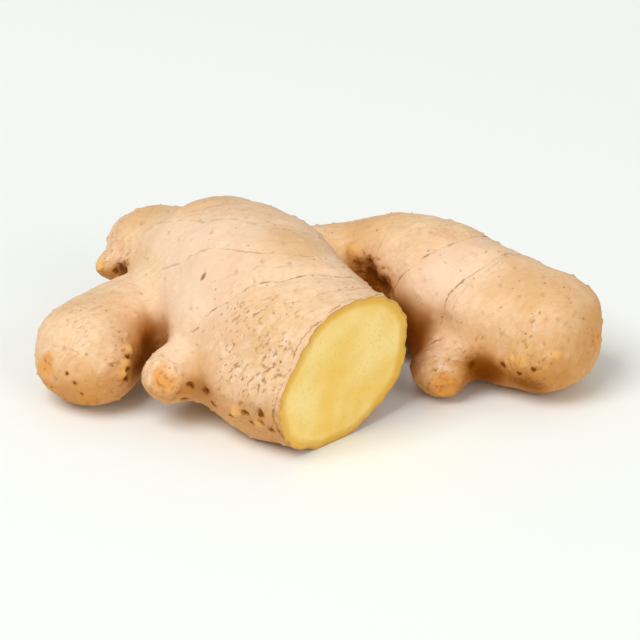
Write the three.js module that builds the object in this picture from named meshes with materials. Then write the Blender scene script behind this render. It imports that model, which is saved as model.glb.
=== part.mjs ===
// A hand of fresh ginger: one rhizome with a stout body cut off at one end, a long
// side finger and several short knobs and buds, lying on a table as it would on a board.
// Millimetres, +X along the root's length, +Y away from the cut end, +Z up.
// The origin is on the table, under the middle of the root.
import * as THREE from "three";

// Driving dimensions
const BODY_RADIUS = 20.2; // the body at its widest
const CUT_RADIUS = 17.2; // the body where it is cut
const FINGER_RADIUS = 15;
const KNOB_RADIUS = 11.8; // the round knob at the left end
const BUD_RADIUS = 6.5;
const CUT_CENTRE = new THREE.Vector3(5.8, 0.5, 17.5);
const CUT_YAW = 43; // degrees that the cut face turns from -Y towards +X
const CUT_PITCH = -6; // degrees that the cut face looks up
const REST_FLAT = 0.5; // how far the lowest swellings are pressed flat by the table
const LUMP_HEIGHT = 0.35; // uneven growth of the whole surface
const LUMP_LENGTH = 24;
const CELL = 2.5; // size of the surface mesh's cells
const ROOM_CELLS = 3; // empty cells kept around the root
const SETTLE_ROUNDS = 5; // times that a vertex is moved onto its surfaces
const LONGEST_STEP = CELL / 4;
const STATION_STEP = 0.75; // spacing of the spheres that fill a lobe
const SKIN_COLOUR = "#dcb588";

// Each lobe is a swelling stem: stations of [x, y, z, radius] along its middle line.
// join is the size of the soft fillet where it grows out of the lobes before it.
// The knife goes through the trunk's lobes and misses the branches.
const TRUNK = {
  body: {
    stations: [
      [-21, 42.5, 19.3, BODY_RADIUS - 1.8],
      [-15, 30, 20, BODY_RADIUS],
      [-6, 14, 19, BODY_RADIUS - 1],
      [5.8, 0.5, 18.4, CUT_RADIUS],
      [15, -10, 18.2, CUT_RADIUS - 1.6],
    ],
    join: 4,
  },
  belly: {
    stations: [
      [-21, 17, 13.5, 12],
      [-12, 6.5, 12.5, 12.5],
      [0, -5, 14.5, 11],
    ],
    join: 6,
  },
};
const BRANCHES = {
  finger: {
    stations: [
      [-8, 47, 16.5, 10.5],
      [7, 53, 16, 10.5],
      [21, 47, 16, FINGER_RADIUS - 0.5],
      [35, 36, 15, FINGER_RADIUS - 0.5],
      [48.5, 27, 13.5, FINGER_RADIUS - 1.2],
    ],
    join: 3,
  },
  left_knob: {
    stations: [
      [-24, 42, 19, 12],
      [-40, 33, 15.5, 9],
      [-50.4, 20, KNOB_RADIUS, KNOB_RADIUS],
    ],
    join: 5,
  },
  back_knob: {
    stations: [
      [-22, 46, 19, 12],
      [-37.5, 55, 19, 10.5],
    ],
    join: 5,
  },
  back_knob_tip: {
    stations: [
      [-40, 54, 18, 6],
      [-48, 49, 19, 3.2],
    ],
    join: 3,
  },
  front_bud: {
    stations: [
      [-20, 17, 13.5, 7],
      [-32.2, 9.4, 12, BUD_RADIUS + 0.3],
    ],
    join: 3,
  },
  finger_bud: {
    stations: [
      [29, 36, 11, 8],
      [26.5, 22, 6.5, BUD_RADIUS],
    ],
    join: 4,
  },
};

// A lobe filled with spheres along a smooth curve through its stations
function fill({ stations, join }) {
  const middle = new THREE.CatmullRomCurve3(
    stations.map(([x, y, z]) => new THREE.Vector3(x, y, z)),
  );
  const girth = new THREE.SplineCurve(
    stations.map(([, , , radius], i) => new THREE.Vector2(i, radius)),
  );
  const steps = Math.ceil(middle.getLength() / STATION_STEP);
  const spheres = Array.from({ length: steps + 1 }, (_, i) => {
    const along = i / steps;
    return new THREE.Sphere(middle.getPoint(along), girth.getPoint(along).y);
  });
  return { spheres, join };
}

// A minimum of two distances whose corner is filled over the given size
function softMinimum(a, b, size) {
  const share = Math.max(size - Math.abs(a - b), 0) / size;
  return Math.min(a, b) - (share * share * size) / 4;
}

// Slow swelling and sinking of the whole surface
function lumps({ x, y, z }) {
  const turn = (2 * Math.PI) / LUMP_LENGTH;
  const across = Math.sin(turn * (x + 0.4 * z)) * Math.sin(turn * (y - 0.3 * x) + 1);
  const upward = Math.sin(turn * (1.6 * z + 0.5 * y) + 2);
  return LUMP_HEIGHT * (across + upward);
}

const trunk = Object.values(TRUNK).map(fill);
const branches = Object.values(BRANCHES).map(fill);
const table = new THREE.Plane(new THREE.Vector3(0, 0, -1), REST_FLAT);
const cutTurn = new THREE.Quaternion().setFromEuler(
  new THREE.Euler(...[-CUT_PITCH, 0, CUT_YAW].map(THREE.MathUtils.degToRad), "ZXY"),
);
const knife = new THREE.Plane().setFromNormalAndCoplanarPoint(
  new THREE.Vector3(0, -1, 0).applyQuaternion(cutTurn),
  CUT_CENTRE,
);

// Distance to the skin of lobes that grow together, negative inside
function grown(lobes, point, start = Infinity) {
  return lobes.reduce((nearest, { spheres, join }) => {
    let lobe = Infinity;
    for (const { center, radius } of spheres)
      lobe = Math.min(lobe, point.distanceTo(center) - radius);
    lobe -= lumps(point);
    return nearest === Infinity ? lobe : softMinimum(nearest, lobe, join);
  }, start);
}

// Distance to the skin of the whole root, as it was before it was cut
function skin(point) {
  return grown(branches, point, grown(trunk, point));
}

// Distance to the cut root that rests on the table, and the surface that sets it there
function cutRoot(point) {
  const grownTrunk = grown(trunk, point);
  const cutTrunk = Math.max(grownTrunk, knife.distanceToPoint(point));
  const standing = grown(branches, point, cutTrunk);
  const under = table.distanceToPoint(point);
  if (under > standing) return { distance: under, surface: table };
  const isCut = cutTrunk > grownTrunk && cutTrunk < grown(branches, point);
  return { distance: standing, surface: isCut ? knife : skin };
}

// A grid of points around every lobe. It is turned with the knife and has a layer of points
// half a cell behind the cut, so that the cut face runs through the middles of cells.
function gridAround(lobes) {
  const back = cutTurn.clone().invert();
  const box = new THREE.Box3();
  for (const { spheres } of lobes)
    for (const { center, radius } of spheres) {
      const middle = center.clone().sub(CUT_CENTRE).applyQuaternion(back);
      box.union(new THREE.Sphere(middle, radius).getBoundingBox(new THREE.Box3()));
    }
  const first = box.min.divideScalar(CELL).floor().subScalar(ROOM_CELLS - 0.5);
  const last = box.max.divideScalar(CELL).ceil().addScalar(ROOM_CELLS);
  const counts = last.sub(first).floor().toArray();
  const pointAt = (x, y, z) =>
    new THREE.Vector3(x, y, z)
      .add(first)
      .multiplyScalar(CELL)
      .applyQuaternion(cutTurn)
      .add(CUT_CENTRE);
  return { counts, pointAt };
}

// The closed surface where a shape's distance is zero. Each cell of the grid that the
// surface crosses gets one vertex, and each grid edge that it crosses gets one square.
function surfaceOf(shape, { counts, pointAt }) {
  const [nx, ny, nz] = counts;
  const stride = [1, nx, nx * ny];
  const gridPoint = (at) =>
    pointAt(at % nx, Math.floor(at / nx) % ny, Math.floor(at / (nx * ny)));
  const values = Float32Array.from(
    { length: nx * ny * nz },
    (_, at) => shape(gridPoint(at)).distance,
  );
  const crosses = (from, to) => values[from] < 0 !== values[to] < 0;

  // The points where a cell's twelve edges cross the surface
  function crossings(at) {
    const found = [];
    for (let axis = 0; axis < 3; axis++)
      for (const u of [0, stride[(axis + 1) % 3]])
        for (const v of [0, stride[(axis + 2) % 3]]) {
          const from = at + u + v;
          const to = from + stride[axis];
          if (!crosses(from, to)) continue;
          const share = values[from] / (values[from] - values[to]);
          found.push(gridPoint(from).lerp(gridPoint(to), share));
        }
    return found;
  }

  const vertexOf = new Map();
  const positions = [];
  function vertexIn(at) {
    if (!vertexOf.has(at)) {
      vertexOf.set(at, positions.length / 3);
      positions.push(...settle(crossings(at), shape).toArray());
    }
    return vertexOf.get(at);
  }

  const triangles = [];
  for (let at = 0; at < values.length - stride[2]; at++)
    for (let axis = 0; axis < 3; axis++) {
      if (!crosses(at, at + stride[axis])) continue;
      const u = stride[(axis + 1) % 3];
      const v = stride[(axis + 2) % 3];
      const [a, b, c, d] = [at, at - u, at - u - v, at - v].map(vertexIn);
      if (values[at] < 0) triangles.push(a, b, c, a, c, d);
      else triangles.push(a, c, b, a, d, c);
    }
  return new THREE.BufferGeometry()
    .setAttribute("position", new THREE.Float32BufferAttribute(positions, 3))
    .setIndex(triangles);
}

// One vertex for a cell: the middle of its crossings, moved onto every surface that the
// cell holds, so that a cell on the rim of the cut gets a vertex on that rim
function settle(crossings, shape) {
  const surfaces = new Set(crossings.map((point) => shape(point).surface));
  const vertex = new THREE.Vector3();
  for (const point of crossings) vertex.addScaledVector(point, 1 / crossings.length);
  for (let round = 0; round < SETTLE_ROUNDS; round++) {
    if (surfaces.has(skin)) ontoSkin(vertex);
    for (const plane of [knife, table])
      if (surfaces.has(plane)) plane.projectPoint(vertex, vertex);
  }
  vertex.z = Math.max(vertex.z, REST_FLAT);
  return vertex;
}

// Moves a point that is near the skin along the skin's slope, onto the skin
function ontoSkin(point) {
  const reach = 0.05;
  const here = skin(point);
  const slope = new THREE.Vector3();
  for (const axis of ["x", "y", "z"]) {
    const beside = point.clone();
    beside[axis] += reach;
    slope[axis] = (skin(beside) - here) / reach;
  }
  const step = here / slope.lengthSq();
  point.addScaledVector(slope, THREE.MathUtils.clamp(-step, -LONGEST_STEP, LONGEST_STEP));
}

function gingerRoot() {
  const geometry = surfaceOf(cutRoot, gridAround([...trunk, ...branches]));
  geometry.computeBoundingBox();
  const { min, max } = geometry.boundingBox;
  geometry.translate(-(min.x + max.x) / 2, -(min.y + max.y) / 2, -REST_FLAT);
  geometry.computeVertexNormals();
  const mesh = new THREE.Mesh(
    geometry,
    new THREE.MeshStandardMaterial({ color: SKIN_COLOUR, roughness: 0.7, metalness: 0 }),
  );
  mesh.name = "ginger_root";
  return mesh;
}

const root = new THREE.Group();
root.add(gingerRoot());

export default root;
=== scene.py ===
"""A hand of fresh ginger, cut across at one end, on a pale studio floor.

The CAD solid gives the shape and the flat cut. It is rounded by subdivision, and single
nubs, scars, pits and a slit are pressed into it. Then a Geometry Nodes tree grows the skin's
relief: swellings, growth rings, corky flakes, warts and pocks. Fields stored on the vertices
tell the tree and the materials where each of these is.
"""

import math

import bmesh
import bpy
import numpy as np
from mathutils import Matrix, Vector, noise
from mathutils.bvhtree import BVHTree


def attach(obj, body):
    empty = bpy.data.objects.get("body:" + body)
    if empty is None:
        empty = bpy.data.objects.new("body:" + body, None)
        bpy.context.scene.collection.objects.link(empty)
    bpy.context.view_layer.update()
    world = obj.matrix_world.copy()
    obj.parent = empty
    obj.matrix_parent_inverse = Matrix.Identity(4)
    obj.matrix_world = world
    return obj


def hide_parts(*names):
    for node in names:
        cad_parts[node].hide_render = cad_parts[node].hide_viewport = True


MM = 0.001

# The photograph's view of the root
VIEW_ELEVATION = math.radians(27)
VIEW_DISTANCE = 1.1
VIEW_WIDTH = 141 * MM  # what the picture takes in across the root
SENSOR_WIDTH = 36

# The cut: the way its flat face looks, as in the CAD
CUT_YAW = math.radians(43)
CUT_PITCH = math.radians(-6)
CUT_NORMAL = (
    math.sin(CUT_YAW) * math.cos(CUT_PITCH),
    -math.cos(CUT_YAW) * math.cos(CUT_PITCH),
    math.sin(CUT_PITCH),
)
FLAT_ENOUGH = 0.9995  # cosine between a face on the cut and the cut itself
CUT_SLACK = 0.1 * MM  # how far from the cut a vertex on it may lie
RIM_REACH = 2.5 * MM  # how far in from its rim the flesh moves with the skin
REST_HEIGHT = 2 * MM  # the relief fades out below this height above the floor

# Turning the CAD's triangles into a rounded mesh
MERGE_DISTANCE = 0.001 * MM
QUAD_BEND = math.radians(60)  # the most that two triangles in a quad may fold
QUAD_SKEW = math.radians(70)  # the most that a quad's corners may stray from square
ROUNDING_LEVELS = 2

# Places of the materials on the root
SKIN = 0
FLESH = 1

# The lobes, in millimetres: points along the middle of each, and how thick it is.
# Rings are the growth rings round it: a point on each, the way it grew there, and how
# clearly the ring shows. Pink is how pale and pink the skin is before, between and after them.
LOBES = {
    "body": {
        "spine": [(-21, 16, 19), (-15, 4, 19.5), (-6, -12, 18.5), (6, -25.5, 18), (15, -36, 18)],
        "radius": 19,
        "pink": [0.2, 0.3, 0.5, 0.8, 0.5, 0.4, 0.4, 0.2],
        "rings": [
            ((-24, 27, 22), (0.1, -0.9, -0.2), 0.5),
            ((-20, 14, 37), (0.0, -0.75, -0.6), 0.4),
            ((-10.1, -0.5, 39.5), (-0.2, -0.6, -0.75), 0.4),
            ((-7.5, -10.8, 38.3), (-0.1, -0.7, -0.7), 0.45),
            ((-9.6, -19.2, 35.5), (0.16, -0.87, -0.46), 0.9),
            ((-5, -27, 33), (0.5, -0.85, -0.2), 0.35),
            ((2.2, -29.8, 33.5), CUT_NORMAL, 0.8),
        ],
    },
    "finger": {
        "spine": [(-8, 21, 16), (7, 27, 15.5), (21, 21, 15.5), (35, 10, 14.5), (48.5, 1, 13)],
        "radius": 14,
        "pink": [0.1, 0.1, 0.2, 0.6, 0.45, 0.3, 0.1, 0.0],
        "rings": [
            ((8, 26, 26), (1, 0, 0), 0.3),
            ((16, 22, 29), (0.8, -0.5, 0), 0.25),
            ((22.3, 8.6, 26.6), (0.56, -0.79, -0.25), 0.9),
            ((31, 0.7, 24.9), (0.6, -0.77, -0.2), 0.9),
            ((41, 6, 28), (0.75, -0.65, -0.1), 0.15),
            ((51, 0, 25), (0.8, -0.6, -0.1), 0.15),
            ((57, -4, 14), (0.8, -0.6, -0.1), 0.2),
        ],
    },
    "left_knob": {
        "spine": [(-24, 16, 18.5), (-40, 7, 15), (-50.2, -6, 11.3)],
        "radius": 10.5,
        "pink": [0.6, 0.4, 0.2, 0.0],
        "rings": [
            ((-36, 10, 24), (-0.8, -0.6, -0.1), 0.2),
            ((-42, 4, 24), (-0.7, -0.75, -0.2), 0.25),
            ((-57, -12, 14), (-0.6, -0.75, -0.3), 0.25),
        ],
    },
    "back_knob": {
        "spine": [(-22, 20, 18.5), (-37.5, 29, 18.5)],
        "radius": 10.5,
        "pink": [0.4, 0.3, 0.2, 0.1],
        "rings": [
            ((-31, 26, 28), (-1, 0.3, 0), 0.2),
            ((-38, 30, 28), (-1, 0.2, 0), 0.2),
            ((-44, 28, 20), (-1, 0, 0), 0.3),
        ],
    },
    "back_tip": {
        "spine": [(-41, 27, 17.5), (-47.5, 23, 18.5)],
        "radius": 4,
        "pink": [0.1, 0.0],
        "rings": [((-45, 24, 18), (-0.8, -0.5, 0.1), 0.7)],
    },
    "front_bud": {
        "spine": [(-20, -9, 13), (-32, -16.6, 11.5)],
        "radius": 6.6,
        "pink": [0.5, 0.6, 0.1],
        "rings": [
            ((-28, -17, 16), (-0.8, -0.55, 0), 0.25),
            ((-33, -20, 14), (-0.6, -0.75, 0.1), 0.4),
        ],
    },
    "finger_bud": {
        "spine": [(29, 10, 10.5), (26.5, -4, 6)],
        "radius": 6.6,
        "pink": [0.5, 0.2, 0.0],
        "rings": [
            ((27, -2, 10), (-0.1, -0.95, -0.3), 0.8),
            ((26.5, -7, 8), (-0.1, -0.95, -0.3), 0.8),
        ],
    },
}
SPINE_SAMPLES = 60
RING_WANDER = 9 * MM  # length over which a ring wanders from its plane
RING_SWAY = 1.6 * MM  # and how far
PINK_BLEND = 1.5 * MM  # how far either side of a ring the pinkness changes
EVEN_PINK = 0.3  # where two lobes meet
LOBE_BLEND = (0.3 * MM, 2.5 * MM)  # how much nearer one lobe is where rings fade in and are whole

# Marks on the skin, in millimetres: where each one is, how wide, and how high or deep
NUBS = [  # root stumps and bud tips that stand out
    ((-49.1, 21.1, 19), 2.6, 0.5),
    ((-41.4, -12.1, 15.3), 1.8, 0.9),
    ((-42, -14.2, 13.2), 1.7, 1.0),
    ((-42.5, -15.3, 11), 1.7, 0.9),
    ((-18, -30.7, 9.9), 2, 1.2),
    ((7.4, 18.8, 23.8), 2.8, 1.3),
    ((-13.5, -34, 8.5), 1.5, 0.7),
    ((44, -11, 12), 1.8, 0.7),
    ((51, -11, 14), 1.6, 0.6),
    ((41.7, -10.8, 12.3), 1.6, 0.5),
]
SCARS = [  # round corky discs where a shoot or a root came away
    ((-50, -15.6, 5), 2.8, 0.5),
    ((-59.6, -13.2, 12), 3.2, 0.25),
    ((-58.7, -13, 6.5), 2.6, 0.2),
    ((-33.8, -23, 13.6), 3.8, 0.45),
    ((27.5, -10.4, 6), 3.6, 0.35),
    ((60.5, -4.5, 14), 3.2, 0.2),
    ((-43.5, 34, 22), 3, 0.35),
    ((20, 36, 20), 2.2, 0.3),
]
PITS = [  # hollows, brown inside: in the deep ones in the forks this is painted shade, in the small ones the skin's own dark spots
    ((9.5, 13.2, 20.8), 4.8, 4.2),
    ((12.6, 9.8, 19), 4.6, 3.6),
    ((-44, 19.8, 18.6), 2.4, 1.4),
    ((-27.8, -22.6, 11.8), 1.0, 0.5),
    ((-24.6, -24.6, 12.1), 1.3, 0.6),
    ((-29.1, -21.6, 7.8), 1.0, 0.4),
    ((-22.7, -25.6, 8.7), 1.1, 0.5),
    ((-19.6, -29.2, 7.4), 0.7, 0.3),
    ((-16, -32.2, 10.8), 1.0, 0.4),
    ((-15.2, -32.6, 8), 0.7, 0.3),
    ((-12.4, -35.4, 11.8), 1.2, 0.5),
    ((-12.6, -34.5, 9.6), 0.8, 0.4),
    ((-10.6, -35.6, 7.6), 1.0, 0.4),
    ((-51.4, -16.8, 7.2), 0.6, 0.3),
    ((-42.3, -15.1, 9.8), 1.1, 0.5),
    ((-53, -17.5, 9.6), 0.7, 0.3),
    ((-54.8, -17, 11.8), 0.6, 0.3),
    ((-41.2, -13.4, 14.4), 0.9, 0.5),
    ((-41.8, -15, 12.2), 0.9, 0.5),
    ((39.5, -9.6, 10), 0.9, 0.5),
    ((43, -11.5, 9), 0.8, 0.5),
    ((46.5, -12.4, 11), 0.7, 0.5),
    ((33, -6.6, 8.5), 1.0, 0.6),
]
SLIT = ((-25.1, -9.6, 31.8), 1.5, 0.3)  # a small split in the smooth skin
SLIT_NARROWING = 2.2  # how much longer than wide it is
SLIT_TURN = math.radians(95)
FAR = 9.0  # the reach of a mark, in radii, where there is no mark
OUT_OF_REACH = 90.0  # the offset, in millimetres, given to points on the root's other side
SAME_SIDE = 0.1  # cosine between the skin at a mark and the skin that it can reach
SCAR_RIM = 0.9  # where a scar's raised rim is, in radii
SCAR_RIM_WIDTH = 0.22
SCAR_SINK = 0.8  # how deep its middle is, as a share of its rim's height

# Broad patches, in millimetres: the middle of each, its radius and its strength
ROUGH_SPOTS = [  # flaky skin
    ((-14, -30, 22), 17, 1),
    ((-8, -36, 12), 15, 1),
    ((-44, -14, 10), 9, 1),
    ((-52, -16, 5), 8, 0.8),
    ((-51, -11, 17), 10, 0.5),
    ((46, -11, 12), 13, 1),
    ((38, -8, 10), 10, 0.8),
    ((54, -9, 14), 9, 0.7),
    ((-33.5, -22, 13.5), 7, 0.9),
    ((28, -8, 8), 9, 1),
    ((-45, 22, 19), 7, 1),
    ((10, 14, 22), 6, 1),
    ((-30, 4, 4), 14, 0.8),
    ((30, 30, 6), 16, 0.8),
    ((-10, 30, 6), 14, 0.8),
]
LIT_SPOTS = [  # painted light: smooth skin made paler and pinker where the light falls full on it
    ((-28, -9, 31), 20, 0.6),
    ((26, 5, 27), 11, 0.5),
]
TAN_SPOTS = [  # skin that is yellower: thicker skin, and two spots of painted shade, marked below
    ((-5, -7, 38.5), 10, 1),
    ((12, 24, 27), 14, 0.7),
    ((46, -3, 24), 15, 0.7),
    # partly the skin's own tone, partly painted shade on the finger's lower side
    ((45, -10, 10), 15, 0.8),
    # painted shade: the front bud's shaded right side made yellower
    ((-26, -20, 14), 7, 0.9),
    ((-38, 28, 28), 10, 0.6),
    ((-9, -30, 28), 15, 0.6),
]
SHADE_SPOTS = [  # painted shade: brown where shade falls in the forks and creases
    ((19.5, 3.5, 10.5), 14.5, 1),
    ((10, 13, 19), 7, 0.8),
    ((-38, -6, 14), 5, 0.8),
    ((35.5, -6.5, 6.5), 10.5, 1),
    ((-25, -24, 12), 8.5, 0.6),
    ((44, -10, 5), 11, 0.75),
]
SHADE_SIDE = Vector((0.35, 0.1, -0.93)).normalized()  # the side that the skin is painted more ochre towards: painted shade
PATCH_WANDER = 5 * MM  # length over which a patch's edge wanders
PATCH_SWAY = 0.35  # and how far, as a share of its radius
PATCH_EDGE = 1.15  # where a patch ends, in radii
ROUGH_SOLID = 0.4  # how far a rough patch keeps its full strength, in radii

# Shelter: rays that feel how much of the open air the root itself blocks. Where it is blocked, the
# skin is painted browner and darker: painted shade
SHELTER_RAYS = 90
SHELTER_REACH = 30 * MM
SHELTER_START = 0.3 * MM

# The relief that the skin grows, in metres
RELIEF = {
    "Wave Length": 11 * MM,
    "Wave Height": 1.5 * MM,
    "Ripple Length": 3 * MM,
    "Ripple Height": 0.5 * MM,
    "Ring Waist": 2.6 * MM,
    "Ring Depth": 0.35 * MM,
    "Lip Width": 1.4 * MM,
    "Lip Height": 0.22 * MM,
    "Flake Size": 1.5 * MM,
    "Flake Height": 0.35 * MM,
    "Wart Spacing": 3.5 * MM,
    "Wart Size": 0.9 * MM,
    "Wart Height": 0.4 * MM,
    "Pock Spacing": 5 * MM,
    "Pock Size": 0.65 * MM,
    "Pock Depth": 0.25 * MM,
    "Rim Length": 2.6 * MM,
    "Rim Height": 2 * MM,
}
SCATTER = {"Wart": 4, "Pock": 9}  # seeds
SCATTER_DENSITY = 2e5  # per square metre, before those too close together are dropped
SCATTER_SIZES = {"Min": 0.35, "Max": 1.3}  # shares of the size given in the relief
MAIN_GROWTH = Vector((0.35, -0.9, -0.25)).normalized()  # flakes and dashes lie across it
FLAKE_STRETCH = 1.2  # how much longer than wide they are, less one
STREAK_STRETCH = 6
FLAKE_BEND = 1.6 * MM  # how far a flake's edge wanders

# Kinds of node
MATH = "ShaderNodeMath"
VECTOR_MATH = "ShaderNodeVectorMath"
RANGE = "ShaderNodeMapRange"
NOISE = "ShaderNodeTexNoise"
VORONOI = "ShaderNodeTexVoronoi"
SEPARATE = "ShaderNodeSeparateXYZ"
MIX = "ShaderNodeMix"
BUMP = "ShaderNodeBump"
ATTRIBUTE = "ShaderNodeAttribute"
FIELD = "GeometryNodeInputNamedAttribute"
SMOOTH = {"interpolation_type": "SMOOTHSTEP"}


def linear(colour):
    """An sRGB hex colour as linear red, green, blue and alpha."""
    parts = [int(colour[i : i + 2], 16) / 255 for i in (1, 3, 5)]
    return [c / 12.92 if c <= 0.04045 else ((c + 0.055) / 1.055) ** 2.4 for c in parts] + [1.0]


def add(tree, kind, inputs=(), **settings):
    """Adds a node. Its inputs are a list in the order of the sockets in use, or a dictionary by
    socket name. Each is a constant, a socket, or a node whose first output is linked."""
    node = tree.nodes.new(kind)
    for name, value in settings.items():
        setattr(node, name, value)
    sockets = [socket for socket in node.inputs if socket.enabled]
    if isinstance(inputs, dict):
        named = {socket.name: socket for socket in reversed(sockets)}
        pairs = [(named[name], value) for name, value in inputs.items()]
    else:
        pairs = zip(sockets, inputs)
    for socket, value in pairs:
        if isinstance(value, bpy.types.Node):
            value = next(output for output in value.outputs if output.enabled)
        if isinstance(value, bpy.types.NodeSocket):
            tree.links.new(value, socket)
        else:
            socket.default_value = value
    return node


def add_object(name, data):
    piece = bpy.data.objects.new(name, data)
    bpy.context.scene.collection.objects.link(piece)
    return piece


def as_mesh(piece, name):
    """The piece's mesh with its modifiers applied. The piece itself goes away."""
    evaluated = piece.evaluated_get(bpy.context.evaluated_depsgraph_get())
    mesh = bpy.data.meshes.new_from_object(evaluated)
    mesh.name = name
    bpy.data.objects.remove(piece)
    return mesh


def read(collection, name, width=1):
    """One property of every element of a mesh collection, as an array."""
    values = np.empty(len(collection) * width, np.float32)
    collection.foreach_get(name, values)
    return values.reshape(-1, width) if width > 1 else values


def store(mesh, name, values):
    """Keeps one number, or one vector, for each vertex under the name that materials read."""
    kind, field = ("FLOAT", "value") if values.ndim == 1 else ("FLOAT_VECTOR", "vector")
    layer = mesh.attributes.new(name, kind, "POINT")
    layer.data.foreach_set(field, values.astype(np.float32).ravel())


# Camera


def aim_camera(points):
    """Looks at the middle of the points from the photograph's height."""
    towards = Vector((0, -math.cos(VIEW_ELEVATION), math.sin(VIEW_ELEVATION)))
    upward = np.array([0, math.sin(VIEW_ELEVATION), math.cos(VIEW_ELEVATION)])
    heights = points @ upward
    middle = Vector(upward) * float(heights.min() + heights.max()) / 2
    middle.x = float(points[:, 0].min() + points[:, 0].max()) / 2
    data = bpy.data.cameras.new("photo view")
    data.sensor_width = SENSOR_WIDTH
    data.lens = SENSOR_WIDTH * VIEW_DISTANCE / VIEW_WIDTH
    camera = add_object("photo_view", data)
    camera.location = middle + towards * VIEW_DISTANCE
    camera.rotation_euler = towards.to_track_quat("Z", "Y").to_euler()
    bpy.context.scene.camera = camera


# The smooth root


def shelter(mesh):
    """How much of the open air around each vertex the root itself blocks, from 0 to 1."""
    faces = [face.vertices[:] for face in mesh.polygons]
    root = BVHTree.FromPolygons([vertex.co for vertex in mesh.vertices], faces)
    turn = math.pi * (3 - math.sqrt(5))
    rays = []
    for i in range(SHELTER_RAYS):
        height = 1 - (2 * i + 1) / SHELTER_RAYS
        width = math.sqrt(1 - height * height)
        rays.append(Vector((width * math.cos(turn * i), width * math.sin(turn * i), height)))
    shares = []
    for vertex in mesh.vertices:
        start = vertex.co + vertex.normal * SHELTER_START
        blocked = 0.0
        whole = 0.0
        for ray in rays:
            facing = vertex.normal.dot(ray)
            if facing <= 0:
                continue
            whole += facing
            distance = root.ray_cast(start, ray, SHELTER_REACH)[3]
            if distance is not None:
                blocked += facing * (1 - distance / SHELTER_REACH)
        shares.append(blocked / whole)
    return np.array(shares)


def smooth_root(node):
    """The CAD solid as quads, rounded everywhere but at the sharp rim of the cut."""
    shape = bmesh.new()
    shape.from_mesh(node.data)
    bmesh.ops.remove_doubles(shape, verts=shape.verts, dist=MERGE_DISTANCE)
    normal = Vector(CUT_NORMAL)
    facing = [face for face in shape.faces if face.normal.dot(normal) > FLAT_ENOUGH]
    depth = np.median([face.calc_center_median().dot(normal) for face in facing])
    for face in shape.faces:
        on_cut = all(abs(vert.co.dot(normal) - depth) < CUT_SLACK for vert in face.verts)
        face.material_index = FLESH if on_cut else SKIN
        face.smooth = True
    crease = shape.edges.layers.float.new("crease_edge")
    for edge in shape.edges:
        if len({face.material_index for face in edge.link_faces}) == 2:
            edge[crease] = 1
            edge.smooth = False
    bmesh.ops.join_triangles(
        shape,
        faces=shape.faces,
        cmp_materials=True,
        angle_face_threshold=QUAD_BEND,
        angle_shape_threshold=QUAD_SKEW,
    )
    mesh = bpy.data.meshes.new("smooth root")
    shape.to_mesh(mesh)
    shape.free()
    store(mesh, "shelter", shelter(mesh))
    piece = add_object("smooth_root", mesh)
    rounding = piece.modifiers.new("rounding", "SUBSURF")
    rounding.levels = rounding.render_levels = ROUNDING_LEVELS
    return as_mesh(piece, "smooth root")


# Fields on the vertices


def smooth_step(low, high, values):
    share = np.clip((values - low) / (high - low), 0, 1)
    return share * share * (3 - 2 * share)


def sway(points, length):
    """Smooth noise from about -1 to 1 at each point, with hills of about the given length."""
    return np.array([noise.noise(point) for point in points / length])


def unit(direction):
    return np.array(direction) / np.linalg.norm(direction)


def spine_distance(points, spine):
    stations = np.array(spine) * MM
    lengths = np.linalg.norm(np.diff(stations, axis=0), axis=1)
    reached = np.concatenate([[0], np.cumsum(lengths)])
    samples = np.linspace(0, reached[-1], SPINE_SAMPLES)
    middle = np.stack([np.interp(samples, reached, stations[:, i]) for i in range(3)], axis=1)
    return np.min([np.linalg.norm(points - sample, axis=1) for sample in middle], axis=0)


def ring_fields(points):
    """For each point: how far past the nearest growth ring of its lobe it is, how clearly that
    ring shows there, and how pink the skin is."""
    depths = np.stack(
        [spine_distance(points, lobe["spine"]) - lobe["radius"] * MM for lobe in LOBES.values()],
        axis=1,
    )
    nearest = np.argmin(depths, axis=1)
    ranked = np.sort(depths, axis=1)
    sure = smooth_step(*LOBE_BLEND, ranked[:, 1] - ranked[:, 0])
    wander = sway(points, RING_WANDER) * RING_SWAY
    past = np.zeros(len(points))
    clear = np.zeros(len(points))
    pink = np.zeros(len(points))
    for index, lobe in enumerate(LOBES.values()):
        here = np.flatnonzero(nearest == index)
        places, growths, clarities = zip(*lobe["rings"])
        gaps = [
            (points[here] - np.array(place) * MM) @ unit(growth)
            for place, growth in zip(places, growths)
        ]
        gaps = np.stack(gaps, axis=1) + wander[here, None]
        closest = np.abs(gaps).argmin(axis=1)
        past[here] = np.take_along_axis(gaps, closest[:, None], 1)[:, 0]
        clear[here] = np.array(clarities)[closest]
        passed = smooth_step(-PINK_BLEND, PINK_BLEND, gaps)
        pink[here] = lobe["pink"][0] + passed @ np.diff(lobe["pink"])
    pink = EVEN_PINK + (pink - EVEN_PINK) * sure
    return {"past_ring": past / MM, "clear_ring": clear * sure, "pink": pink}


def patches(points, spots, wander, solid):
    """Each spot's strength in its solid middle, fading to 0 over a ragged edge."""
    share = np.zeros(len(points))
    for place, radius, strength in spots:
        reach = np.linalg.norm(points / MM - np.array(place), axis=1) / radius + wander
        share = np.maximum(share, strength * (1 - smooth_step(solid, PATCH_EDGE, reach)))
    return share


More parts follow.
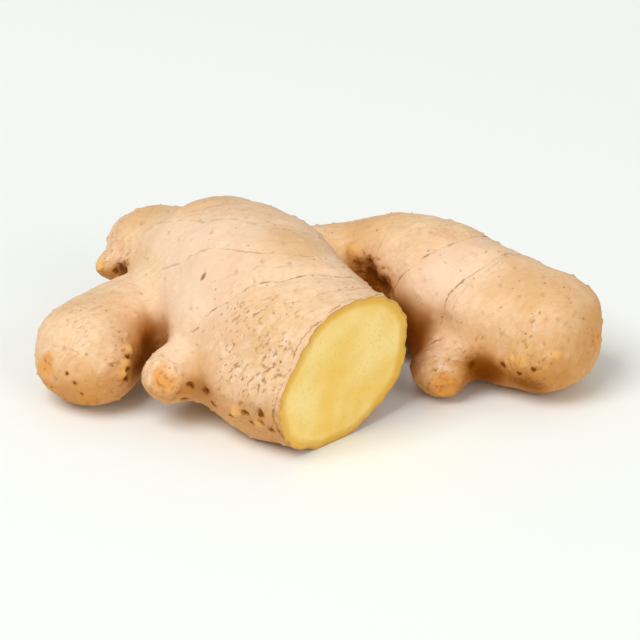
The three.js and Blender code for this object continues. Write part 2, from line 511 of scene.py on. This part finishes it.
def growth_directions(mesh, points):
    """The way that the skin's relief pushes each vertex, how far it is from the cut's rim, and
    whether it is inside the cut. On the rim it pushes within the cut, so that this stays flat."""
    normals = read(mesh.polygons, "normal", 3)
    areas = read(mesh.polygons, "area")
    sides = read(mesh.polygons, "loop_total").astype(int)
    kinds = np.repeat(read(mesh.polygons, "material_index").astype(int), sides)
    corners = read(mesh.loops, "vertex_index").astype(int)
    pushes = np.repeat(normals * areas[:, None], sides, axis=0)
    on_skin = np.bincount(corners, kinds == SKIN, len(points)) > 0
    on_flesh = np.bincount(corners, kinds == FLESH, len(points)) > 0
    grow = np.stack(
        [np.bincount(corners, push * (kinds == SKIN), len(points)) for push in pushes.T], axis=1
    )
    rim = on_skin & on_flesh
    grow[rim] -= np.outer(grow[rim] @ CUT_NORMAL, CUT_NORMAL)
    grow /= np.maximum(np.linalg.norm(grow, axis=1), 1e-12)[:, None]
    gaps = np.linalg.norm(points[:, None] - points[None, rim], axis=2)
    from_rim = gaps.min(axis=1)
    inside = ~on_skin
    share = np.clip(1 - from_rim[inside] / RIM_REACH, 0, 1)
    grow[inside] = grow[rim][gaps[inside].argmin(axis=1)] * share[:, None]
    grow *= smooth_step(0, REST_HEIGHT, points[:, 2])[:, None]
    return grow, from_rim, inside


def mark_offsets(points, normals, place):
    """Each point's place on the skin around a mark, in millimetres: level, up the slope and out."""
    middle = np.argmin(np.linalg.norm(points / MM - np.array(place), axis=1))
    offset = (points - points[middle]) / MM
    up = normals[middle]
    level = unit(np.cross(up, [0, 0, 1]))
    across = np.stack([offset @ level, offset @ np.cross(level, up), offset @ up], axis=1)
    across[normals @ up < SAME_SIDE] = OUT_OF_REACH
    return across


def dome(reach):
    return np.clip(1 - reach**2, 0, 1) ** 2


def dish(reach):
    rim = np.exp(-(((reach - SCAR_RIM) / SCAR_RIM_WIDTH) ** 2))
    return rim - SCAR_SINK * np.clip(1 - reach**2, 0, 1)


def press_marks(points, normals, grow):
    """Raises the nubs, dishes the scars, sinks the pits and opens the slit. Returns the moved
    points, and how far each point is from each kind of mark, in radii of the mark."""
    height = np.zeros(len(points))
    fields = {}
    for kind, marks, profile, sign in (
        ("nub", NUBS, dome, 1),
        ("scar", SCARS, dish, 1),
        ("pit", PITS, dome, -1),
    ):
        fields[kind] = np.full(len(points), FAR)
        for place, radius, extent in marks:
            reach = np.linalg.norm(mark_offsets(points, normals, place), axis=1) / radius
            height += sign * extent * profile(reach)
            fields[kind] = np.minimum(fields[kind], reach)
    place, length, depth = SLIT
    level, slope, out = mark_offsets(points, normals, place).T
    along = level * math.cos(SLIT_TURN) + slope * math.sin(SLIT_TURN)
    across = slope * math.cos(SLIT_TURN) - level * math.sin(SLIT_TURN)
    reach = np.linalg.norm([along, across * SLIT_NARROWING, out], axis=0) / length
    height -= depth * dome(reach)
    fields["slit"] = np.minimum(reach, FAR)
    return points + grow * (height * MM)[:, None], fields


def prepare_skin(mesh):
    """Presses the marks into the smooth root and stores every field that the relief and the
    materials read."""
    points = read(mesh.vertices, "co", 3).astype(float)
    normals = read(mesh.vertices, "normal", 3).astype(float)
    grow, from_rim, inside = growth_directions(mesh, points)
    moved, fields = press_marks(points, normals, grow)
    fields |= ring_fields(points)
    ragged = sway(points, PATCH_WANDER) * PATCH_SWAY
    fields["rough"] = patches(points, ROUGH_SPOTS, ragged, ROUGH_SOLID)
    for name, spots in (("pale", LIT_SPOTS), ("tan", TAN_SPOTS), ("fork_shade", SHADE_SPOTS)):
        fields[name] = patches(points, spots, ragged / 2, 0.0)
    # how far the skin faces its shaded side, which the skin material paints more ochre: painted
    # shade
    fields["under"] = (1 + normals @ SHADE_SIDE) / 2
    fields["grow"] = grow
    fields["from_rim"] = from_rim / MM
    fields["skin_here"] = 1.0 - inside
    for name, values in fields.items():
        store(mesh, name, values)
    mesh.vertices.foreach_set("co", moved.astype(np.float32).ravel())
    mesh.update()


# The relief tree


def across_growth(tree, place, stretch):
    """Coordinates in which a pattern comes out longer along the growth rings than across them."""
    along = add(tree, VECTOR_MATH, [place, MAIN_GROWTH], operation="DOT_PRODUCT").outputs["Value"]
    squeeze = add(tree, MATH, [along, stretch], operation="MULTIPLY")
    squeezed = add(tree, VECTOR_MATH, {"Vector": MAIN_GROWTH, "Scale": squeeze}, operation="SCALE")
    return add(tree, VECTOR_MATH, [place, squeezed], operation="ADD")


def flake_pattern(tree, place, scale):
    """Ragged flakes: each one's own random level, and how far each point is from its edge."""
    bend = add(tree, NOISE, {"Vector": place, "Scale": scale, "Detail": 1.0}).outputs["Color"]
    squeezed = across_growth(tree, place, FLAKE_STRETCH)
    bent = add(tree, VECTOR_MATH, [bend, (FLAKE_BEND,) * 3, squeezed], operation="MULTIPLY_ADD")
    cells = add(tree, VORONOI, {"Vector": bent, "Scale": scale})
    edges = add(tree, VORONOI, {"Vector": bent, "Scale": scale}, feature="DISTANCE_TO_EDGE")
    level = add(tree, SEPARATE, [cells.outputs["Color"]])
    return level, edges


def wave_heights(tree, given, place):
    """Broad swellings and fine ripples all over."""
    heights = []
    for name, detail in (("Wave", 1.0), ("Ripple", 3.0)):
        scale = add(tree, MATH, [1.0, given[name + " Length"]], operation="DIVIDE")
        hills = add(tree, NOISE, {"Vector": place, "Scale": scale, "Detail": detail})
        centred = add(tree, MATH, [hills, 0.5], operation="SUBTRACT")
        heights.append(add(tree, MATH, [centred, given[name + " Height"]], operation="MULTIPLY"))
    return heights


def ring_heights(tree, given, place):
    """A waist at each growth ring, and a ragged lip just before it."""
    past = add(tree, FIELD, ["past_ring"], data_type="FLOAT")
    past = add(tree, MATH, [past, MM], operation="MULTIPLY")
    clear = add(tree, FIELD, ["clear_ring"], data_type="FLOAT")
    distance = add(tree, MATH, [past], operation="ABSOLUTE")
    waist = add(tree, RANGE, [distance, 0.0, given["Ring Waist"], -1.0, 0.0], **SMOOTH)
    lip_start = add(tree, MATH, [given["Lip Width"], -1.0], operation="MULTIPLY")
    rise = add(tree, RANGE, [past, lip_start, 0.0, 0.0, 1.0], **SMOOTH)
    fall = add(tree, RANGE, [past, 0.0, given["Lip Width"], 1.0, 0.0], **SMOOTH)
    torn = add(tree, NOISE, {"Vector": place, "Scale": 1 / (4 * MM), "Detail": 2.0})
    torn = add(tree, RANGE, [torn, 0.4, 0.6])
    lip = add(tree, MATH, [rise, fall], operation="MULTIPLY")
    lip = add(tree, MATH, [lip, torn], operation="MULTIPLY")
    heights = []
    for shape, extent in ((waist, "Ring Depth"), (lip, "Lip Height")):
        shape = add(tree, MATH, [shape, clear], operation="MULTIPLY")
        heights.append(add(tree, MATH, [shape, given[extent]], operation="MULTIPLY"))
    return heights


def flake_heights(tree, given, place):
    """Flakes of uneven height where the skin is rough."""
    scale = add(tree, MATH, [1.0, given["Flake Size"]], operation="DIVIDE")
    level, edges = flake_pattern(tree, place, scale)
    plate = add(tree, RANGE, [edges, 0.0, 0.2], **SMOOTH)
    plate = add(tree, MATH, [plate, level], operation="MULTIPLY")
    rough = add(tree, FIELD, ["rough"], data_type="FLOAT")
    plate = add(tree, MATH, [plate, rough], operation="MULTIPLY")
    return [add(tree, MATH, [plate, given["Flake Height"]], operation="MULTIPLY")]


def rim_heights(tree, given, place):
    """An uneven rim where the knife tore the skin."""
    from_rim = add(tree, FIELD, ["from_rim"], data_type="FLOAT")
    near = add(tree, RANGE, [from_rim, 0.3, 1.8, 1.0, 0.0], **SMOOTH)
    scale = add(tree, MATH, [1.0, given["Rim Length"]], operation="DIVIDE")
    torn = add(tree, NOISE, {"Vector": place, "Scale": scale, "Detail": 2.0})
    torn = add(tree, MATH, [torn, 0.5], operation="SUBTRACT")
    torn = add(tree, MATH, [torn, near], operation="MULTIPLY")
    return [add(tree, MATH, [torn, given["Rim Height"]], operation="MULTIPLY")]


def scattered_domes(tree, given, name, seed):
    """Round spots of uneven size, scattered over the skin: 1 in the middle of each, 0 outside."""
    skin_here = add(tree, FIELD, ["skin_here"], data_type="FLOAT")
    spots = add(
        tree,
        "GeometryNodeDistributePointsOnFaces",
        {
            "Mesh": given["Geometry"],
            "Distance Min": given[name + " Spacing"],
            "Density Max": SCATTER_DENSITY,
            "Density Factor": skin_here,
            "Seed": seed,
        },
        distribute_method="POISSON",
    )
    gap = add(tree, "GeometryNodeProximity", [spots], target_element="POINTS").outputs["Distance"]
    nearest = add(tree, "GeometryNodeSampleNearest", [spots], domain="POINT")
    share = add(tree, "FunctionNodeRandomValue", {**SCATTER_SIZES, "Seed": seed})
    own = {"Geometry": spots, "Value": share, "Index": nearest}
    width = add(tree, "GeometryNodeSampleIndex", own)
    width = add(tree, MATH, [width, given[name + " Size"]], operation="MULTIPLY")
    return add(tree, RANGE, [gap, 0.0, width, 1.0, 0.0], **SMOOTH)


def relief_tree(skin, flesh):
    """Pushes the skin along its growth direction by the sum of all the heights."""
    tree = bpy.data.node_groups.new("ginger relief", "GeometryNodeTree")
    tree.interface.new_socket("Geometry", in_out="INPUT", socket_type="NodeSocketGeometry")
    for name in RELIEF:
        tree.interface.new_socket(name, in_out="INPUT", socket_type="NodeSocketFloat")
    tree.interface.new_socket("Geometry", in_out="OUTPUT", socket_type="NodeSocketGeometry")
    given = add(tree, "NodeGroupInput").outputs
    place = add(tree, "GeometryNodeInputPosition")
    heights = wave_heights(tree, given, place)
    heights += ring_heights(tree, given, place)
    heights += flake_heights(tree, given, place)
    heights += rim_heights(tree, given, place)
    spots = {name: scattered_domes(tree, given, name, seed) for name, seed in SCATTER.items()}
    heights.append(add(tree, MATH, [spots["Wart"], given["Wart Height"]], operation="MULTIPLY"))
    sunk = add(tree, MATH, [spots["Pock"], -1.0], operation="MULTIPLY")
    heights.append(add(tree, MATH, [sunk, given["Pock Depth"]], operation="MULTIPLY"))
    height = heights[0]
    for more in heights[1:]:
        height = add(tree, MATH, [height, more], operation="ADD")
    grow = add(tree, FIELD, ["grow"], data_type="FLOAT_VECTOR")
    push = add(tree, VECTOR_MATH, {"Vector": grow, "Scale": height}, operation="SCALE")
    shape = given["Geometry"]
    for name, share in spots.items():
        shape = add(
            tree,
            "GeometryNodeStoreNamedAttribute",
            {"Geometry": shape, "Name": name.lower(), "Value": share},
            data_type="FLOAT",
            domain="POINT",
        )
    shape = add(tree, "GeometryNodeSetPosition", {"Geometry": shape, "Offset": push})
    shape = add(tree, "GeometryNodeRealizeInstances", {"Geometry": shape})
    index = add(tree, "GeometryNodeInputMaterialIndex")
    for slot, material in ((FLESH, flesh), (SKIN, skin)):
        chosen = add(tree, "FunctionNodeCompare", [index, slot], data_type="INT", operation="EQUAL")
        shape = add(tree, "GeometryNodeSetMaterial", [shape, chosen, material])
    add(tree, "NodeGroupOutput", [shape])
    return tree


def grow_relief(mesh, skin, flesh):
    mesh.materials.append(skin)
    mesh.materials.append(flesh)
    piece = add_object("growing_root", mesh)
    growth = piece.modifiers.new("relief", "NODES")
    growth.node_group = relief_tree(skin, flesh)
    for socket in growth.node_group.interface.items_tree:
        if socket.in_out == "INPUT" and socket.name in RELIEF:
            growth[socket.identifier] = RELIEF[socket.name]
    return as_mesh(piece, "ginger_root")


# Skin


def empty_material(name):
    material = bpy.data.materials.new(name)
    material.use_nodes = True
    material.node_tree.nodes.clear()
    return material, material.node_tree


def ring_lines(tree, place):
    """Uneven brown hairlines along the growth rings, fading in and out."""
    past = add(tree, ATTRIBUTE, attribute_name="past_ring").outputs["Fac"]
    clear = add(tree, ATTRIBUTE, attribute_name="clear_ring").outputs["Fac"]
    jitter = add(tree, NOISE, [place, 1 / (1.2 * MM), 4.0])
    jitter = add(tree, MATH, [jitter, 0.5], operation="SUBTRACT")
    past = add(tree, MATH, [jitter, 1.3, past], operation="MULTIPLY_ADD")
    distance = add(tree, MATH, [past], operation="ABSOLUTE")
    width = add(tree, NOISE, [place, 1 / (3 * MM), 3.0])
    line_width = add(tree, RANGE, [width, 0.35, 0.7, 0.12, 0.4], **SMOOTH)
    strength = add(tree, RANGE, [width, 0.38, 0.62, 0.25, 1.0], **SMOOTH)
    line = add(tree, RANGE, [distance, 0.0, line_width, 1.0, 0.0], **SMOOTH)
    line = add(tree, MATH, [line, strength], operation="MULTIPLY")
    return add(tree, MATH, [line, clear], operation="MULTIPLY")


def rough_masks(tree, place, rough):
    """In the rough places: pale blotches, and brown dashes that lie along the growth rings and
    crowd together here and there."""
    squeezed = across_growth(tree, place, FLAKE_STRETCH)
    blotch = add(tree, NOISE, [squeezed, 1 / (3 * MM), 4.0])
    dash = add(tree, NOISE, [squeezed, 1 / (1.5 * MM), 4.0])
    crowd = add(tree, NOISE, [place, 1 / (7 * MM), 2.0])
    blotch = add(tree, RANGE, [blotch, 0.48, 0.66, 0.0, 0.65], **SMOOTH)
    dash = add(tree, RANGE, [dash, 0.53, 0.68, 0.0, 0.8], **SMOOTH)
    crowd = add(tree, RANGE, [crowd, 0.4, 0.58, 0.25, 1.0], **SMOOTH)
    dash = add(tree, MATH, [dash, crowd], operation="MULTIPLY")
    return [add(tree, MATH, [mask, rough], operation="MULTIPLY") for mask in (blotch, dash)]


def speck_mask(tree, place, rough):
    """Small dark specks of uneven size, thicker on the rough places."""
    dots = add(tree, VORONOI, {"Vector": place, "Scale": 1 / (1.4 * MM)})
    lot = add(tree, SEPARATE, [dots.outputs["Color"]])
    rarest = add(tree, RANGE, [rough, 0.0, 1.0, 0.75, 0.35])
    size = add(tree, RANGE, [lot, rarest, 1.0, 0.0, 0.3])
    inner = add(tree, MATH, [size, 0.3], operation="MULTIPLY")
    return add(tree, RANGE, [dots.outputs["Distance"], inner, size, 0.55, 0.0], **SMOOTH)


def mark_mask(tree, kind, ragged, stray, strength, outer=1.05):
    """One kind of mark, with a soft ragged edge that strays by the given share of its radius."""
    reach = add(tree, ATTRIBUTE, attribute_name=kind).outputs["Fac"]
    uneven = add(tree, MATH, [ragged, 0.5], operation="SUBTRACT")
    reach = add(tree, MATH, [uneven, stray, reach], operation="MULTIPLY_ADD")
    return add(tree, RANGE, [reach, 0.35, outer, strength, 0.0], **SMOOTH)


def ginger_skin():
    """Ginger periderm: a thin dry cork skin over moist flesh. It is straw to tan with a slight
    sheen, browner in its rings and dashes, and orange where a shoot broke away. Shade is painted
    into it: browner and darker in its hollows, pits and forks, and more ochre on its lower side,
    with less sheen there. Light is painted too: paler where it falls full on the skin."""
    material, tree = empty_material("ginger periderm")
    place = add(tree, "ShaderNodeTexCoord").outputs["Object"]
    names = ("pink", "pale", "tan", "rough", "shelter", "fork_shade", "under", "pock", "wart")
    field = {name: add(tree, ATTRIBUTE, attribute_name=name).outputs["Fac"] for name in names}
    broad = add(tree, NOISE, [place, 1 / (13 * MM), 3.0])
    blotchy = add(tree, NOISE, [place, 1 / (3 * MM), 4.0])
    mottle = add(tree, NOISE, [place, 1 / (1.5 * MM), 5.0])
    grain = add(tree, NOISE, [place, 1 / (0.5 * MM), 4.0])
    streak = add(tree, NOISE, [across_growth(tree, place, STREAK_STRETCH), 1 / (4 * MM), 3.0])
    ring = ring_lines(tree, place)
    pale_blotch, dash = rough_masks(tree, place, field["rough"])
    speck = speck_mask(tree, place, field["rough"])
    # painted shade: rough skin more ochre on its lower, shaded side
    rough_side_shade = add(tree, RANGE, [field["under"], 0.3, 0.6, 0.0, 0.4], **SMOOTH)
    rough_side_shade = add(tree, MATH, [rough_side_shade, field["rough"]], operation="MULTIPLY")
    scar = mark_mask(tree, "scar", blotchy, 1.8, 0.85)
    char = add(tree, RANGE, [mottle, 0.48, 0.66, 0.0, 0.8], **SMOOTH)
    char = add(tree, MATH, [char, scar], operation="MULTIPLY")
    # painted shade: darkest where the root blocks most of the open air
    painted_crease_shade = add(tree, RANGE, [field["shelter"], 0.45, 0.8, 0.0, 0.85], **SMOOTH)
    # darkest inside the pits: painted shade in the deep fork pits, the skin's own dark spots in the
    # small ones
    pit = mark_mask(tree, "pit", mottle, 2.2, 0.85)
    # painted shade: dark brown in the middle of the forks' shade
    deep_fork_shade = add(tree, RANGE, [field["fork_shade"], 0.3, 1.0, 0.0, 0.95], **SMOOTH)
    layers = [
        (add(tree, RANGE, [broad, 0.35, 0.68], **SMOOTH), "#e2b380"),
        (add(tree, RANGE, [mottle, 0.4, 0.75, 0.0, 0.4], **SMOOTH), "#d09a5b"),
        (add(tree, RANGE, [streak, 0.45, 0.75, 0.0, 0.4], **SMOOTH), "#d2a068"),
        (add(tree, RANGE, [field["pink"], 0.0, 1.0, 0.0, 0.6]), "#f4d9c0"),
        # painted light: paler where the light falls full on the body and finger
        (add(tree, RANGE, [field["pale"], 0.0, 1.0, 0.0, 0.75]), "#f2d8c0"),
        # thicker, yellower skin, with painted shade at the front bud's right side and the finger's
        # lower end
        (add(tree, RANGE, [field["tan"], 0.0, 0.8, 0.0, 0.6], **SMOOTH), "#d8a868"),
        (pale_blotch, "#f2d4b8"),
        # painted shade: more ochre towards the lower, shaded side
        (add(tree, RANGE, [field["under"], 0.1, 0.6, 0.0, 0.7], **SMOOTH), "#cf8f3c"),
        (rough_side_shade, "#c47f30"),
        (dash, "#ae7232"),
        (add(tree, RANGE, [field["wart"], 0.0, 1.0, 0.0, 0.25]), "#f0d6b0"),
        (add(tree, RANGE, [field["pock"], 0.0, 1.0, 0.0, 0.45]), "#9e6428"),
        (speck, "#86501a"),
        (add(tree, RANGE, [ring, 0.0, 1.0, 0.0, 0.8]), "#8a5424"),
        # painted shade: browner where the root blocks the open air around the skin
        (add(tree, RANGE, [field["shelter"], 0.15, 0.6, 0.0, 0.8], **SMOOTH), "#a8620f"),
        # painted shade: ochre towards the edges of the forks' shade
        (add(tree, RANGE, [field["fork_shade"], 0.0, 0.8, 0.0, 0.8]), "#b8721a"),
        # brown round the pits: painted shade round the deep fork pits, the skin's own colour round
        # the small ones
        (mark_mask(tree, "pit", mottle, 1.5, 0.65, outer=1.7), "#b8721a"),
        # painted shade: dark brown in the forks
        (deep_fork_shade, "#743800"),
        (mark_mask(tree, "nub", mottle, 1.0, 0.6), "#e6b05a"),
        (scar, "#e0983f"),
        (char, "#a4602a"),
        # painted shade: dark brown in the deepest creases
        (painted_crease_shade, "#5a2c00"),
        (pit, "#6a3506"),
        (mark_mask(tree, "slit", mottle, 0.8, 0.85), "#9a4c20"),
    ]
    colour = linear("#ecc99e")
    for share, tint in layers:
        colour = add(tree, MIX, [share, colour, linear(tint)], data_type="RGBA")
    # less sheen where shade is painted into the colour
    dull = painted_crease_shade
    for mask in (pit, deep_fork_shade):
        dull = add(tree, MATH, [dull, mask], operation="MAXIMUM")
    normal = add(tree, BUMP, {"Height": grain, "Distance": 0.12 * MM})
    for groove, depth in ((ring, 0.12), (dash, 0.15), (speck, 0.15), (char, 0.2)):
        normal = add(tree, BUMP, {"Height": groove, "Distance": -depth * MM, "Normal": normal})
    shader = add(
        tree,
        "ShaderNodeBsdfPrincipled",
        {
            "Base Color": colour,
            "Roughness": add(tree, RANGE, [mottle, 0.3, 0.7, 0.5, 0.68]),
            "IOR": 1.45,
            "Specular IOR Level": add(tree, RANGE, [dull, 0.0, 0.7, 0.35, 0.02]),
            "Subsurface Weight": 0.12,
            "Subsurface Radius": (1.0, 0.5, 0.2),
            "Subsurface Scale": 1.5 * MM,
            "Normal": normal,
        },
    )
    add(tree, "ShaderNodeOutputMaterial", [shader])
    return material


# Flesh


def ginger_flesh():
    """Cut ginger: moist, fibrous and slightly see-through. It is lemon yellow, deeper in a ring
    just inside the skin, with the ends of cut fibres as fine dots."""
    material, tree = empty_material("cut ginger flesh")
    place = add(tree, "ShaderNodeTexCoord").outputs["Object"]
    from_rim = add(tree, ATTRIBUTE, attribute_name="from_rim").outputs["Fac"]
    broad = add(tree, NOISE, [place, 1 / (12 * MM), 2.0])
    uneven = add(tree, NOISE, [place, 1 / (2.5 * MM), 3.0])
    grain = add(tree, NOISE, [place, 1 / (0.6 * MM), 3.0])
    inward = add(tree, MATH, [uneven, 0.9, from_rim], operation="MULTIPLY_ADD")
    fibres = add(tree, VORONOI, {"Vector": place, "Scale": 1 / (1.1 * MM)})
    layers = [
        (add(tree, RANGE, [broad, 0.35, 0.7], **SMOOTH), "#f3c95c"),
        (add(tree, RANGE, [fibres.outputs["Distance"], 0.1, 0.35, 0.25, 0.0], **SMOOTH), "#dba838"),
        (add(tree, RANGE, [inward, 3.4, 1.4, 0.0, 0.75], **SMOOTH), "#dca620"),
        (add(tree, RANGE, [inward, 1.1, 0.75, 0.0, 0.85], **SMOOTH), "#c9974a"),
    ]
    colour = linear("#fadc8c")
    for share, tint in layers:
        colour = add(tree, MIX, [share, colour, linear(tint)], data_type="RGBA")
    shader = add(
        tree,
        "ShaderNodeBsdfPrincipled",
        {
            "Base Color": colour,
            "Roughness": add(tree, RANGE, [uneven, 0.3, 0.7, 0.3, 0.45]),
            "IOR": 1.38,
            "Subsurface Weight": 0.3,
            "Subsurface Radius": (1.0, 0.75, 0.25),
            "Subsurface Scale": 2.5 * MM,
            "Normal": add(tree, BUMP, {"Height": grain, "Distance": 0.05 * MM}),
        },
    )
    add(tree, "ShaderNodeOutputMaterial", [shader])
    return material


# Stage and light

LAMPS = {  # place in metres, width in metres, power in watts
    "key": ((-0.9, -0.9, 1.9), 1.4, 34),
    "fill": ((1.4, -1.8, 1.0), 1.4, 14),
}
LAMP_TARGET = Vector((0, 0, 0.02))
FLOOR_SIZE = 3
SKY_STRENGTH = 0.5


def studio():
    """A sheet of white paper under a large key lamp, a weaker fill lamp and an even pale sky."""
    bpy.ops.mesh.primitive_plane_add(size=FLOOR_SIZE)
    floor = bpy.context.object
    floor.name = "floor"
    paper = bpy.data.materials.new("white paper")
    paper.use_nodes = True
    shader = paper.node_tree.nodes["Principled BSDF"]
    shader.inputs["Base Color"].default_value = linear("#f2f5f1")
    shader.inputs["Roughness"].default_value = 0.9
    floor.data.materials.append(paper)
    world = bpy.data.worlds.new("pale studio")
    world.use_nodes = True
    background = world.node_tree.nodes["Background"]
    background.inputs["Color"].default_value = (1, 1, 1, 1)
    background.inputs["Strength"].default_value = SKY_STRENGTH
    bpy.context.scene.world = world
    for name, (place, width, power) in LAMPS.items():
        data = bpy.data.lights.new(name, "AREA")
        data.energy = power
        data.size = width
        lamp = add_object(name, data)
        lamp.location = place
        lamp.rotation_euler = (lamp.location - LAMP_TARGET).to_track_quat("Z", "Y").to_euler()
    bpy.context.scene.view_settings.view_transform = "Standard"


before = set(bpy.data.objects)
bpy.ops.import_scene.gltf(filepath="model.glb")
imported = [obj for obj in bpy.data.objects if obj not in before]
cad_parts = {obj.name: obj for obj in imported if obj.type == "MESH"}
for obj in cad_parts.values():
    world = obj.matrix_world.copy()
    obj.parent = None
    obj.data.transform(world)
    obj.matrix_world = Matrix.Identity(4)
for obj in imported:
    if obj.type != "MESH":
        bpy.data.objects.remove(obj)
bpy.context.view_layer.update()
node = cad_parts["ginger_root"]
aim_camera(read(node.data.vertices, "co", 3))
smooth = smooth_root(node)
prepare_skin(smooth)
ginger = add_object("ginger", grow_relief(smooth, ginger_skin(), ginger_flesh()))
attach(ginger, "root")
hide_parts("ginger_root")
studio()
